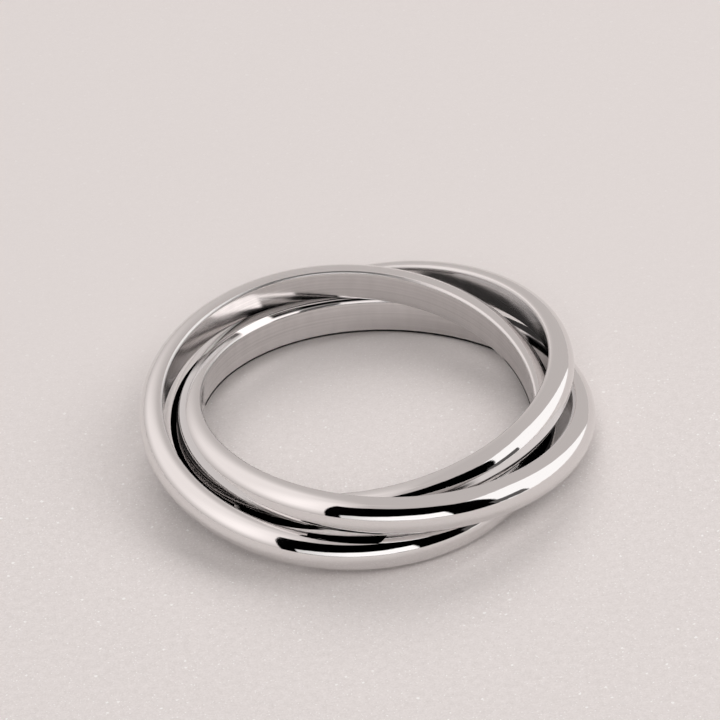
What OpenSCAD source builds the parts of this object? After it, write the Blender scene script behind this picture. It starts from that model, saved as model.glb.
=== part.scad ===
// Rolling ring: three equal bands, each passing through the other two.
// It lies on its side. The floor is z = 0, +Z points up through the finger hole, and -Y is the front.

/* [Section of every band] */
// Diameter inside one band
inner_d = 20; // [20:0.5:22]
// Width of one band, along its own axis
band_w = 2.1; // [1.9:0.05:2.1]
// Radius of the two rounded inner edges
edge_r = 0.2; // [0.15:0.01:0.2]

/* [Left band] */
// Where its centre stands from the middle, towards +X and towards +Y
left_at = [-1.04, -1.06]; // [-2:0.01:2]
// How far it leans from lying flat
left_tilt = 8.4; // [8.4:0.1:8.6]
// Direction of its high side, in degrees from +X towards +Y
left_high = 124; // [123:1:125]

/* [Right band] */
// Where its centre stands from the middle, towards +X and towards +Y
right_at = [1.05, -1.05]; // [-2:0.01:2]
// How far it leans from lying flat
right_tilt = 7.8; // [7.8:0.1:8]
// Direction of its high side, in degrees from +X towards +Y
right_high = 231; // [230:1:232]

/* [Back band] */
// Where its centre stands from the middle, towards +X and towards +Y
back_at = [0.21, 1.01]; // [-2:0.01:2]
// How far it leans from lying flat
back_tilt = 6.9; // [6.8:0.1:7]
// Direction of its high side, in degrees from +X towards +Y
back_high = 343; // [342:1:344]

/* [Hidden] */
$fn = 180;

inner_r = inner_d / 2;
// The domed outside is a half circle as wide as the band. Its centre runs just outside the inner edges.
dome_r = band_w / 2;
dome_path_r = inner_r + edge_r;
// Half the height of the flat inner face, between the rounded edges
flat_half = dome_r - edge_r;

// Height of a leaning band's centre when its lowest point is on the floor
function rest_z(tilt) = dome_path_r * sin(tilt) + dome_r;

// Half round section: flat towards the finger, domed outside, with two small rounded inner edges.
module section() {
    translate([dome_path_r, 0]) {
        intersection() {
            circle(r = dome_r);
            translate([0, -dome_r]) square([dome_r, band_w]);
        }
        translate([-edge_r, -flat_half]) square([edge_r, 2 * flat_half]);
        for (side = [-1, 1]) {
            translate([0, side * flat_half]) intersection() {
                circle(r = edge_r);
                translate([-edge_r, -edge_r]) square([edge_r, 2 * edge_r]);
            }
        }
    }
}

// One band about its own axis, leaning so that the side towards high is up, resting on the floor.
module band(at, tilt, high) {
    translate([at[0], at[1], rest_z(tilt)])
        rotate([0, 0, high])
            rotate([0, -tilt, 0])
                rotate_extrude() section();
}

module left_band() {
    color("silver") band(left_at, left_tilt, left_high);
}

module right_band() {
    color("gainsboro") band(right_at, right_tilt, right_high);
}

module back_band() {
    color("lightgray") band(back_at, back_tilt, back_high);
}

left_band();
right_band();
back_band();
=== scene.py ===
"""Rolling ring: three polished half round bands, each passing through the other two, lying on its side.

Everything is in metres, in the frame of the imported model: the floor is z = 0, +Z points up through the
finger hole, and -Y is the front. Sizes below are written in millimetres and multiplied by MM.
"""

import math

import bpy
import numpy as np
from mathutils import Matrix, Vector


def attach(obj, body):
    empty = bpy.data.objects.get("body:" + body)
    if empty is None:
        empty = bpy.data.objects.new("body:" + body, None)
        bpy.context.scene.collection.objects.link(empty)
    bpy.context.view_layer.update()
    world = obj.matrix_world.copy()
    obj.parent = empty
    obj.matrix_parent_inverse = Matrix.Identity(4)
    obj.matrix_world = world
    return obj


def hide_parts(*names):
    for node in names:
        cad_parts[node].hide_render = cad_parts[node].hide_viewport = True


MM = 0.001

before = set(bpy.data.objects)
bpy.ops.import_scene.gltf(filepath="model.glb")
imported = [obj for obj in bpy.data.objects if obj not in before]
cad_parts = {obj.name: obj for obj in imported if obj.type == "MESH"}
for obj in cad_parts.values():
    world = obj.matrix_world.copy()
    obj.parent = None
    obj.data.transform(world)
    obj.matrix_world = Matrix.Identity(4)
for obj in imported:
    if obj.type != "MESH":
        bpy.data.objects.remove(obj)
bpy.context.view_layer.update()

# Driving sizes of every band, in millimetres
INNER_D = 20.0
BAND_W = 2.1
EDGE_R = 0.2

# Each band: place of its centre, lean in degrees, and direction of its high side in degrees from +X to +Y
BANDS = {
    "left_band": ((-1.04, -1.06), 8.4, 124.0),
    "right_band": ((1.05, -1.05), 7.8, 231.0),
    "back_band": ((0.21, 1.01), 6.9, 343.0),
}

DOME_R = BAND_W / 2
DOME_PATH_R = INNER_D / 2 + EDGE_R
FLAT_HALF = DOME_R - EDGE_R

# Steps of the finished surface, and of each sheet of the studio
TURN_STEPS = 600
DOME_STEPS = 36
EDGE_STEPS = 6
FLAT_STEPS = 10
CARD_STEPS = 24

# V of the UV map where the dome ends, and where the flat inner face begins and ends
SECTION_POINTS = DOME_STEPS + 1 + EDGE_STEPS + FLAT_STEPS + EDGE_STEPS - 1
DOME_END = DOME_STEPS / SECTION_POINTS
INSIDE_START = (DOME_STEPS + EDGE_STEPS) / SECTION_POINTS
INSIDE_END = (DOME_STEPS + EDGE_STEPS + FLAT_STEPS) / SECTION_POINTS

# Most values of a noise pattern lie between these two
NOISE_LOW = 0.3
NOISE_HIGH = 0.7

# Roughness of the metal's smoothest and roughest spots, and what the inner face and the rounded edges add
SMOOTHEST = 0.02
ROUGHEST = 0.05
INSIDE_SOFT = 0.13
EDGE_SOFT = 0.28

# How far in V one part of the section blends into the next
BLEND_PART = 0.03

# Colours of the metal outside and inside, dark and light; the inside ones are darkened as painted shade in
# the ring's hollow
OUTSIDE_COLOURS = (0.75, 0.735, 0.73, 1), (0.80, 0.785, 0.78, 1)
INSIDE_FINISH_AND_SHADE_COLOURS = (0.57, 0.55, 0.545, 1), (0.68, 0.66, 0.655, 1)

# Patterns in the metal: how much finer than one turn round the band and than one turn round its section
POLISHING_LINES = (6.0, 260.0, 1.0)
STREAKS = (5.0, 75.0, 1.0)
MARKS = (110.0, 5.0, 1.0)
STREAK_SHARE = 0.7
MARK_SHARE = 0.3
CLOUD_SCALE = 900.0
LINE_STRENGTH = 0.02
LINE_DEPTH = 0.02 * MM

# Floor: half its side, its colours, and how coarse its clouds, grain and specks are
FLOOR_HALF = 1500 * MM
FLOOR_COLOURS = (0.74, 0.705, 0.69, 1), (0.89, 0.855, 0.845, 1)
DARK_SPECK = (0.3, 0.28, 0.275, 1)
PAINTED_GLINT = (1.0, 0.99, 0.98, 1)
FLOOR_ROUGHNESS = 0.9
FLOOR_GLOSS = 0.1
FLOOR_CLOUDS = 2600.0
FINE_GRAIN = 8000.0
GRAIN_STRENGTH = 1.3
SMALL_SPECKS = 9000.0
LARGE_SPECKS = 3600.0

# Values of the noise at which a speck begins and at which it is full
SMALL_SPECK_AT = 0.72, 0.80
LARGE_SPECK_AT = 0.78, 0.83
DARK_SPECK_AT = 0.24, 0.17

# The grain is full in front of the first place in Y, and weak behind the second
GRAIN_FULL_AT = -6.0 * MM
GRAIN_WEAK_AT = 16.0 * MM
GRAIN_WEAK = 0.2

# Colours of the studio's light
SKY_WARM = (1.0, 0.927, 0.903)
CARD_WHITE = (1.0, 0.98, 0.975)
CARD_WARM = (1.0, 0.94, 0.93)
CARD_BLACK = (0, 0, 0)
# Colour of the sheets that paint light reflections on the bands
PAINTED_REFLECTION_WARM = (1.0, 0.94, 0.925)
LAMP_WARM = (1.0, 0.96, 0.95)
WORLD_GREY = (0.295, 0.283, 0.278, 1)

# Distance of the cards from the ring, and size and place of the lamps, in metres
AWAY = 0.7
LAMP_SIZE = 0.5
LAMP_OUT = 0.45
LAMP_UP = 0.5

# The light is mirrored up to this many times between the bands
MIRRORED = 3

# Camera at the photo's viewing angle, turned a little about its own line of sight
CAMERA_HEIGHT = math.radians(37.688)
CAMERA_ROLL = math.radians(-5.298)
CAMERA_AWAY = 400.04 * MM
LOOKS_AT = Vector((-0.135, 6.907, 0)) * MM
LENS = 363.73
SENSOR = 36.0


def section_line():
    """The closed outline of the half round section, as distance from the band's axis and height.

    The dome is a half circle: r = path + R cos a, z = R sin a, with a from -90 to 90 degrees.
    Each inner edge is a quarter circle of the edge radius about (path, +-flat half).
    The inner face is the straight line between them, at r = path - edge radius.
    """
    dome = np.linspace(-math.pi / 2, math.pi / 2, DOME_STEPS + 1)
    edge = np.linspace(math.pi / 2, math.pi, EDGE_STEPS + 1)[1:]
    flat = np.linspace(FLAT_HALF, -FLAT_HALF, FLAT_STEPS + 1)[1:]
    upper = np.stack([DOME_PATH_R + EDGE_R * np.cos(edge), FLAT_HALF + EDGE_R * np.sin(edge)], 1)
    lower = upper[::-1][1:] * [1, -1]
    return np.concatenate([
        np.stack([DOME_PATH_R + DOME_R * np.cos(dome), DOME_R * np.sin(dome)], 1),
        upper,
        np.stack([np.full(FLAT_STEPS, DOME_PATH_R - EDGE_R), flat], 1),
        lower,
    ])


def round_a_band(at, lean, high, turn, r, z):
    """Points at turn angle t, r from a band's axis and z along it.

    A point is centre + r (cos t side + sin t across) + z axis.
    The axis leans away from the high side by the lean, side points up towards the high side, and across is
    square to both. The centre is as high as a band of this lean stands on the floor.
    """
    h, tilt = math.radians(high), math.radians(lean)
    side = np.array([math.cos(h) * math.cos(tilt), math.sin(h) * math.cos(tilt), math.sin(tilt)])
    axis = np.array([-math.cos(h) * math.sin(tilt), -math.sin(h) * math.sin(tilt), math.cos(tilt)])
    across = np.cross(axis, side)
    centre = np.array([at[0], at[1], DOME_PATH_R * math.sin(tilt) + DOME_R])
    turn, r, z = turn[..., None], r[..., None], z[..., None]
    return centre + r * (np.cos(turn) * side + np.sin(turn) * across) + z * axis


def band_surface(band):
    """Points of one whole band: its section carried round its axis."""
    turn = np.linspace(0, 2 * math.pi, TURN_STEPS, endpoint=False)[:, None]
    r, z = section_line().T[:, None, :]
    return round_a_band(*BANDS[band], turn, r, z)


def linked(name, data):
    """An object of the given mesh, lamp or camera, linked to the scene."""
    thing = bpy.data.objects.new(name, data)
    bpy.context.collection.objects.link(thing)
    return thing


def skin(name, grid, material):
    """A closed mesh on a grid of points that runs round both ways, with smooth faces and a UV map.

    Face (i, j) joins points (i, j), (i+1, j), (i+1, j+1) and (i, j+1), counted round. U goes round the band
    and V goes round its section, both from 0 to 1.
    """
    rings, points = grid.shape[:2]
    i, j = np.meshgrid(np.arange(rings), np.arange(points), indexing="ij")
    ni, nj = (i + 1) % rings, (j + 1) % points
    faces = np.stack([i * points + j, ni * points + j, ni * points + nj, i * points + nj], -1).reshape(-1, 4)
    mesh = bpy.data.meshes.new(name)
    mesh.from_pydata((grid.reshape(-1, 3) * MM).tolist(), [], faces.tolist())
    u = np.stack([i, i + 1, i + 1, i], -1) / rings
    v = np.stack([j, j, j + 1, j + 1], -1) / points
    uv = mesh.uv_layers.new(name="round_and_across")
    uv.data.foreach_set("uv", np.stack([u, v], -1).reshape(-1).astype(np.float32))
    mesh.polygons.foreach_set("use_smooth", np.ones(len(faces), bool))
    mesh.materials.append(material)
    mesh.update()
    return linked(name, mesh)


def nodes_of(material):
    """The material's node tree and its main shader."""
    material.use_nodes = True
    tree = material.node_tree
    return tree, tree.nodes["Principled BSDF"]


def parts_of(tree, at):
    """The X, Y and Z of the given coordinates, each as a value."""
    split = tree.nodes.new("ShaderNodeSeparateXYZ")
    tree.links.new(at, split.inputs["Vector"])
    return split.outputs


def noise(tree, at, scale, detail):
    """The value of a noise pattern at the given coordinates."""
    pattern = tree.nodes.new("ShaderNodeTexNoise")
    pattern.inputs["Scale"].default_value = scale
    pattern.inputs["Detail"].default_value = detail
    tree.links.new(at, pattern.inputs["Vector"])
    return pattern.outputs["Fac"]


def between(tree, value, low, high, to_low, to_high):
    """The value moved from the range low to high into the range to_low to to_high, with a smooth step."""
    step = tree.nodes.new("ShaderNodeMapRange")
    step.interpolation_type = "SMOOTHSTEP"
    for socket, number in (("From Min", low), ("From Max", high), ("To Min", to_low), ("To Max", to_high)):
        step.inputs[socket].default_value = number
    tree.links.new(value, step.inputs["Value"])
    return step.outputs["Result"]


def worked(tree, operation, first, second):
    """Two values put together by a named operation, such as ADD or MULTIPLY. Each may be a plain number."""
    both = tree.nodes.new("ShaderNodeMath")
    both.operation = operation
    for socket, value in enumerate((first, second)):
        if isinstance(value, float):
            both.inputs[socket].default_value = value
        else:
            tree.links.new(value, both.inputs[socket])
    return both.outputs["Value"]


def blended(tree, share, first, second):
    """A colour that goes from first to second with the share. Each may be four numbers or another colour."""
    mix = tree.nodes.new("ShaderNodeMix")
    mix.data_type = "RGBA"
    tree.links.new(share, mix.inputs["Factor"])
    for socket, colour in (("A", first), ("B", second)):
        if isinstance(colour, tuple):
            mix.inputs[socket].default_value = colour
        else:
            tree.links.new(colour, mix.inputs[socket])
    return mix.outputs["Result"]


def stretched(tree, at, scale):
    """Coordinates multiplied by three numbers."""
    mapping = tree.nodes.new("ShaderNodeMapping")
    mapping.inputs["Scale"].default_value = scale
    tree.links.new(at, mapping.inputs["Vector"])
    return mapping.outputs["Vector"]


def polished_metal():
    """Silver-coloured metal, mirror polished outside, softer inside and painted darker there as shade, with
    fine polishing lines.

    V of the UV map tells the parts of the section apart: the dome comes first, then the inner face with its
    edges. The inside is also streaked along the band, with faint marks that run across it.
    """
    material = bpy.data.materials.new("polished_silver_metal")
    tree, shader = nodes_of(material)
    shader.inputs["Metallic"].default_value = 1.0
    coords = tree.nodes.new("ShaderNodeTexCoord")
    round_and_across = coords.outputs["UV"]
    across = parts_of(tree, round_and_across)["Y"]
    past_start = between(tree, across, INSIDE_START - BLEND_PART, INSIDE_START, 0.0, 1.0)
    before_end = between(tree, across, INSIDE_END, INSIDE_END + BLEND_PART, 1.0, 0.0)
    inside = worked(tree, "MULTIPLY", past_start, before_end)
    past_dome = between(tree, across, DOME_END, DOME_END + BLEND_PART, 0.0, 1.0)
    before_dome = between(tree, across, 1.0 - BLEND_PART, 1.0, 1.0, 0.0)
    edges = worked(tree, "SUBTRACT", worked(tree, "MULTIPLY", past_dome, before_dome), inside)

    lines = noise(tree, stretched(tree, round_and_across, POLISHING_LINES), 1.0, 3.0)
    streaks = noise(tree, stretched(tree, round_and_across, STREAKS), 1.0, 2.0)
    marks = noise(tree, stretched(tree, round_and_across, MARKS), 1.0, 3.0)
    streaked = worked(tree, "MULTIPLY", streaks, STREAK_SHARE)
    worn = worked(tree, "ADD", streaked, worked(tree, "MULTIPLY", marks, MARK_SHARE))
    cloud = noise(tree, coords.outputs["Object"], CLOUD_SCALE, 4.0)

    uneven = between(tree, cloud, NOISE_LOW, NOISE_HIGH, SMOOTHEST, ROUGHEST)
    softer = worked(tree, "ADD", uneven, worked(tree, "MULTIPLY", inside, INSIDE_SOFT))
    softest = worked(tree, "ADD", softer, worked(tree, "MULTIPLY", edges, EDGE_SOFT))
    tree.links.new(softest, shader.inputs["Roughness"])

    outside_colour = blended(tree, lines, *OUTSIDE_COLOURS)
    # The inside's darker colour is painted shade in the ring's hollow; its streaks and marks are the softer
    # finish.
    inside_finish_and_shade = blended(tree, between(tree, worn, NOISE_LOW, NOISE_HIGH, 0.0, 1.0), *INSIDE_FINISH_AND_SHADE_COLOURS)
    tree.links.new(blended(tree, inside, outside_colour, inside_finish_and_shade), shader.inputs["Base Color"])

    bump = tree.nodes.new("ShaderNodeBump")
    bump.inputs["Strength"].default_value = LINE_STRENGTH
    bump.inputs["Distance"].default_value = LINE_DEPTH
    tree.links.new(lines, bump.inputs["Height"])
    tree.links.new(bump.outputs["Normal"], shader.inputs["Normal"])
    return material


def pale_floor():
    """Pale warm floor with a fine grain, small dark specks and small bright specks painted as glints of
    glitter, smoother towards the back.
    """
    material = bpy.data.materials.new("pale_floor")
    tree, shader = nodes_of(material)
    shader.inputs["Roughness"].default_value = FLOOR_ROUGHNESS
    shader.inputs["Specular IOR Level"].default_value = FLOOR_GLOSS
    at = tree.nodes.new("ShaderNodeTexCoord").outputs["Object"]
    rough = between(tree, parts_of(tree, at)["Y"], GRAIN_FULL_AT, GRAIN_WEAK_AT, 1.0, GRAIN_WEAK)
    clouds = worked(tree, "SUBTRACT", noise(tree, at, FLOOR_CLOUDS, 4.0), 0.5)
    fine = noise(tree, at, FINE_GRAIN, 2.0)
    grains = worked(tree, "MULTIPLY", worked(tree, "SUBTRACT", fine, 0.5), GRAIN_STRENGTH)
    uneven = worked(tree, "MULTIPLY", worked(tree, "ADD", clouds, grains), rough)
    ground = blended(tree, worked(tree, "ADD", uneven, 0.5), *FLOOR_COLOURS)
    small = between(tree, noise(tree, at, SMALL_SPECKS, 0.0), *SMALL_SPECK_AT, 0.0, 1.0)
    large = between(tree, noise(tree, at, LARGE_SPECKS, 0.0), *LARGE_SPECK_AT, 0.0, 1.0)
    # The bright specks are painted glints of the glitter.
    bright = worked(tree, "MULTIPLY", worked(tree, "MAXIMUM", small, large), rough)
    dark = worked(tree, "MULTIPLY", between(tree, fine, *DARK_SPECK_AT, 0.0, 1.0), rough)
    speckled = blended(tree, dark, ground, DARK_SPECK)
    tree.links.new(blended(tree, bright, speckled, PAINTED_GLINT), shader.inputs["Base Color"])
    return material


def glow(name, colour, strength):
    """A new material, its node tree, and a glow of the given colour and strength in place of its shader."""
    material = bpy.data.materials.new(name)
    material.use_nodes = True
    tree = material.node_tree
    tree.nodes.remove(tree.nodes["Principled BSDF"])
    lit = tree.nodes.new("ShaderNodeEmission")
    lit.inputs["Color"].default_value = (*colour, 1)
    lit.inputs["Strength"].default_value = strength
    return material, tree, lit


def hard_glow(name, colour, strength, left_end=1.0):
    """A glowing surface with crisp edges.

    The left end is the share of its strength there, and it grows smoothly to its full strength at the middle.
    """
    material, tree, lit = glow(name, colour, strength)
    if left_end != 1.0:
        across = parts_of(tree, tree.nodes.new("ShaderNodeTexCoord").outputs["UV"])["X"]
        tree.links.new(between(tree, across, 0.0, 0.5, left_end * strength, strength), lit.inputs["Strength"])
    tree.links.new(lit.outputs["Emission"], tree.nodes["Material Output"].inputs["Surface"])
    return material


def soft_glow(name, colour, strength, soft, covers):
    """A glowing surface that fades out at its edges, and covers what is behind it or adds its light to that.

    The fade is the smooth step of the distance from the nearest side edge, times the same for the ends, in
    UV.
    """
    material, tree, lit = glow(name, colour, strength)
    place = parts_of(tree, tree.nodes.new("ShaderNodeTexCoord").outputs["UV"])
    fades = []
    for along in ("X", "Y"):
        edge = worked(tree, "MINIMUM", place[along], worked(tree, "SUBTRACT", 1.0, place[along]))
        fades.append(between(tree, edge, 0.0, soft, 0.0, 1.0))
    fade = worked(tree, "MULTIPLY", *fades)
    clear = tree.nodes.new("ShaderNodeBsdfTransparent").outputs["BSDF"]
    if covers:
        both = tree.nodes.new("ShaderNodeMixShader")
        tree.links.new(fade, both.inputs["Fac"])
        tree.links.new(clear, both.inputs[1])
        tree.links.new(lit.outputs["Emission"], both.inputs[2])
    else:
        tree.links.new(worked(tree, "MULTIPLY", fade, strength), lit.inputs["Strength"])
        both = tree.nodes.new("ShaderNodeAddShader")
        tree.links.new(lit.outputs["Emission"], both.inputs[0])
        tree.links.new(clear, both.inputs[1])
    tree.links.new(both.outputs["Shader"], tree.nodes["Material Output"].inputs["Surface"])
    return material


def direction(place):
    """The unit direction of a heading and a height in degrees.

    Heading is 0 towards the front and grows to the right, and height is above the horizon.
    """
    heading, height = np.radians(place[..., 0]), np.radians(place[..., 1])
    level = np.cos(height)
    return np.stack([np.sin(heading) * level, -np.cos(heading) * level, np.sin(height)], -1)


def patch(corners):
    """A grid of rows of numbers between four corners, with every edge shared out evenly.

    The low edge and the high edge are blended across, and then the two are blended upward. The corners run
    low left, low right, high right, high left.
    """
    steps = np.linspace(0, 1, CARD_STEPS + 1)
    across, upward = (share[..., None] for share in np.meshgrid(steps, steps, indexing="ij"))
    low_left, low_right, high_right, high_left = np.array(corners, float)
    low = low_left * (1 - across) + low_right * across
    high = high_left * (1 - across) + high_right * across
    return low * (1 - upward) + high * upward


def studio_sheet(name, points, material):
    """A sheet on a square grid of points, seen only in the metal's reflections.

    Face (i, j) joins points (i, j), (i, j+1), (i+1, j+1) and (i+1, j), and the UV map goes across and up it.
    """
    n = CARD_STEPS + 1
    i, j = np.meshgrid(np.arange(CARD_STEPS), np.arange(CARD_STEPS), indexing="ij")
    faces = np.stack([i * n + j, i * n + j + 1, (i + 1) * n + j + 1, (i + 1) * n + j], -1).reshape(-1, 4)
    mesh = bpy.data.meshes.new(name)
    mesh.from_pydata(points.reshape(-1, 3).tolist(), [], faces.tolist())
    uv = mesh.uv_layers.new(name="across_and_up")
    at = np.stack([faces // n, faces % n], -1) / CARD_STEPS
    uv.data.foreach_set("uv", at.reshape(-1).astype(np.float32))
    mesh.materials.append(material)
    sheet = linked(name, mesh)
    sheet.visible_camera = False
    sheet.visible_shadow = False
    sheet.visible_diffuse = False


def card(name, corners, away, colour, strength, soft=0.0, left_end=1.0, flat=True):
    """A card round the ring. Each corner is away x direction, given as heading and height in degrees.

    A flat card blends the four corner points, so its edges are straight. A curved one blends their headings
    and heights. A soft card adds its light to what is behind it.
    """
    points = patch(direction(np.array(corners, float))) if flat else direction(patch(corners))
    if soft:
        material = soft_glow(name, colour, strength, soft, covers=False)
    else:
        material = hard_glow(name, colour, strength, left_end)
    studio_sheet(name, points * away, material)


def painted_reflection_strip(name, band, corners, strength, soft):
    """A thin sheet just over a band's surface, seen only in the metal: a black one paints dark reflections
    and shade in the gaps, a glowing one paints light reflections.

    Each corner is a turn angle round the band, an angle round its section (90 is the top of the dome, 0 its
    outermost line) and the distance from the dome's centre line in millimetres.
    """
    turn, angle, reach = np.moveaxis(patch(corners), -1, 0)
    turn, angle = np.radians(turn), np.radians(angle)
    points = round_a_band(*BANDS[band], turn, DOME_PATH_R + reach * np.cos(angle), reach * np.sin(angle))
    if soft:
        material = soft_glow(name, PAINTED_REFLECTION_WARM, strength, soft, covers=True)
    else:
        material = hard_glow(name, PAINTED_REFLECTION_WARM, strength)
    studio_sheet(name, points * MM, material)


def key_light(name, at, power):
    """A soft round lamp that points at the ring and isn't seen in the metal."""
    lamp = bpy.data.lights.new(name, "AREA")
    lamp.shape = "DISK"
    lamp.size = LAMP_SIZE
    lamp.energy = power
    lamp.color = LAMP_WARM
    holder = linked(name, lamp)
    holder.location = at
    holder.rotation_mode = "QUATERNION"
    holder.rotation_quaternion = (-Vector(at)).to_track_quat("-Z", "Y")
    holder.visible_glossy = False


# Bands
metal = polished_metal()
for node in BANDS:
    band = skin(node + "_metal", band_surface(node), metal)
    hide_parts(node)
    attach(band, node)

# Floor
floor_mesh = bpy.data.meshes.new("floor")
floor_corners = [(x * FLOOR_HALF, y * FLOOR_HALF, 0) for x, y in ((-1, -1), (1, -1), (1, 1), (-1, 1))]
floor_mesh.from_pydata(floor_corners, [], [(0, 1, 2, 3)])
floor_mesh.materials.append(pale_floor())
floor = linked("floor", floor_mesh)

# Cards round the ring, with corners as heading and height
SKY = [(-180, -2), (180, -2), (180, 90), (-180, 90)]
LEFT = [(-185, -4), (0, -4), (0, 100), (-185, 100)]
FRONT_LEFT = [(-100, -10), (0, -10), (0, 90), (-100, 90)]
card("sky_dome", SKY, AWAY * 1.3, SKY_WARM, 0.62, flat=False)
card("left_glow", LEFT, AWAY * 1.2, CARD_WARM, 0.42, soft=0.32, flat=False)
card("front_left_glow", FRONT_LEFT, AWAY * 1.18, CARD_WARM, 0.25, soft=0.5, flat=False)
card("right_card", [(56, 0), (132, 0), (104, 50), (60, 52)], AWAY * 1.1, CARD_WHITE, 1.25)
card("dark_card", [(-34, 1), (57, 1), (66, 48), (-39, 64)], AWAY, CARD_BLACK, 0.0)
card("right_low_card", [(54, 2), (75, 2), (75, 18), (54, 18)], AWAY * 0.65, CARD_WARM, 0.12)
card("front_low_card", [(-26, 2), (31, 2), (31, 27), (-26, 17)], AWAY * 0.55, CARD_WHITE, 1.3, left_end=0.65)

# Painted reflections and shade: sheets in the gaps between the bands and under their inner edges, dark ones
# and light ones.
# Each row: name, the band it follows, strength, how soft its edges are, and corners as
# painted_reflection_strip takes them.
PAINTED_REFLECTION_STRIPS = [
    ("right_dark_strip", "right_band", 0.04, 0.12,
     [(-148, 52, 1.08), (-204, 45, 1.08), (-204, 106, 1.08), (-148, 69, 1.08)]),
    ("right_end_dark_strip", "right_band", 0.0, 0.12,
     [(148, 93, 1.1), (168, 97, 1.1), (168, 128, 0.5), (148, 128, 0.5)]),
    ("right_light_strip", "right_band", 0.6, 0.0,
     [(-158, 80, 1.1), (-190, 95, 1.1), (-190, 125, 1.1), (-158, 115, 1.1)]),
    ("back_light_strip", "left_band", 0.6, 0.0,
     [(-50, -10, 1.09), (-82, -10, 1.09), (-82, 40, 1.09), (-50, 40, 1.09)]),
    ("left_dark_strip", "left_band", 0.0, 0.0,
     [(15, -90, 1.8), (95, -90, 1.8), (95, -90, 1.05), (15, -90, 1.05)]),
    ("left_top_dark_strip", "back_band", 0.02, 0.15,
     [(-172, 80, 1.08), (-110, 38, 1.08), (-110, 62, 1.08), (-172, 100, 1.08)]),
    ("left_light_strip", "right_band", 0.72, 0.15,
     [(-78, 36, 1.08), (3, -38, 1.08), (3, -4, 1.08), (-78, 84, 1.08)]),
    ("front_dark_strip", "back_band", 0.0, 0.12,
     [(-118, -4, 1.08), (-88, -66, 1.08), (-88, -2, 1.08), (-118, 26, 1.08)]),
    ("under_dark_strip", "right_band", 0.0, 0.0,
     [(13, -100, 1.08), (36, -100, 1.08), (34, -42, 1.08), (13, -42, 1.08)]),
    ("back_left_dark_strip", "right_band", 0.0, 0.08,
     [(-99, -10, 1.08), (-134, -10, 1.08), (-134, 78, 1.08), (-101, 59, 1.08)]),
    ("back_left_light_strip", "right_band", 1.5, 0.12,
     [(-92, 62, 1.09), (-107, 62, 1.09), (-107, 125, 1.09), (-92, 125, 1.09)]),
    ("back_top_dark_strip", "right_band", 0.0, 0.15,
     [(-112, 78, 1.08), (-152, 84, 1.08), (-152, 98, 1.08), (-112, 97, 1.08)]),
    ("back_rim_glow_strip", "right_band", 1.5, 0.12,
     [(-104, 96, 1.07), (-117, 98, 1.07), (-117, 109, 1.07), (-104, 109, 1.07)]),
    ("back_rim_dark_strip", "right_band", 0.0, 0.12,
     [(-115, 99, 1.065), (-130, 98, 1.065), (-130, 109, 1.065), (-115, 109, 1.065)]),
    ("back_rim_light_strip", "right_band", 1.2, 0.15,
     [(-128, 98, 1.07), (-144, 98, 1.07), (-144, 110, 1.07), (-128, 110, 1.07)]),
    ("right_gap_dark_strip", "right_band", 0.015, 0.1,
     [(78, 120, 0.75), (160, 120, 0.75), (160, 250, 0.75), (78, 250, 0.75)]),
    ("right_gap_rim_strip", "right_band", 0.55, 0.1,
     [(92, 94, 1.1), (142, 94, 1.1), (142, 124, 0.6), (92, 124, 0.6)]),
    ("right_gap_light_strip", "back_band", 0.8, 0.15,
     [(-50, 2, 1.08), (-3, -33, 1.08), (-3, 14, 1.08), (-50, 20, 1.08)]),
    ("right_gap_low_strip", "left_band", 0.0, 0.1,
     [(-156, 50, 1.08), (-136, 24, 1.08), (-136, 60, 1.08), (-156, 88, 1.08)]),
    ("right_edge_strip", "right_band", 0.0, 0.0,
     [(-66, -106.4, 0.95), (-188, -106.4, 0.95), (-188, -90, 1.12), (-66, -90, 1.12)]),
    ("left_edge_strip", "left_band", 0.0, 0.12,
     [(-93, -106.4, 0.95), (-130, -106.4, 0.95), (-130, -90, 1.12), (-93, -90, 1.12)]),
]
for name, followed, strength, soft, corners in PAINTED_REFLECTION_STRIPS:
    painted_reflection_strip(name, followed, corners, strength, soft)

# World and lamps
world = bpy.data.worlds.new("studio")
bpy.context.scene.world = world
world.use_nodes = True
world.node_tree.nodes["Background"].inputs["Color"].default_value = WORLD_GREY
world.node_tree.nodes["Background"].inputs["Strength"].default_value = 1.0
key_light("right_key", (LAMP_OUT, 0.0, LAMP_UP), 1.1)
key_light("back_key", (0.0, LAMP_OUT, LAMP_UP), 1.5)
key_light("front_key", (0.0, -LAMP_OUT, LAMP_UP), 1.5)
bpy.context.scene.cycles.glossy_bounces = MIRRORED
bpy.context.scene.view_settings.view_transform = "Standard"

# Camera
forward = Vector((0, math.cos(CAMERA_HEIGHT), -math.sin(CAMERA_HEIGHT)))
level_right = Vector((1, 0, 0))
level_up = level_right.cross(forward)
right = level_right * math.cos(CAMERA_ROLL) + level_up * math.sin(CAMERA_ROLL)
up = right.cross(forward)
turned = Matrix((right, up, -forward)).transposed()
camera_data = bpy.data.cameras.new("camera")
camera_data.lens = LENS
camera_data.sensor_width = SENSOR
camera_data.clip_start = 10 * MM
camera = linked("camera", camera_data)
camera.matrix_world = Matrix.Translation(LOOKS_AT - forward * CAMERA_AWAY) @ turned.to_4x4()
bpy.context.scene.camera = camera
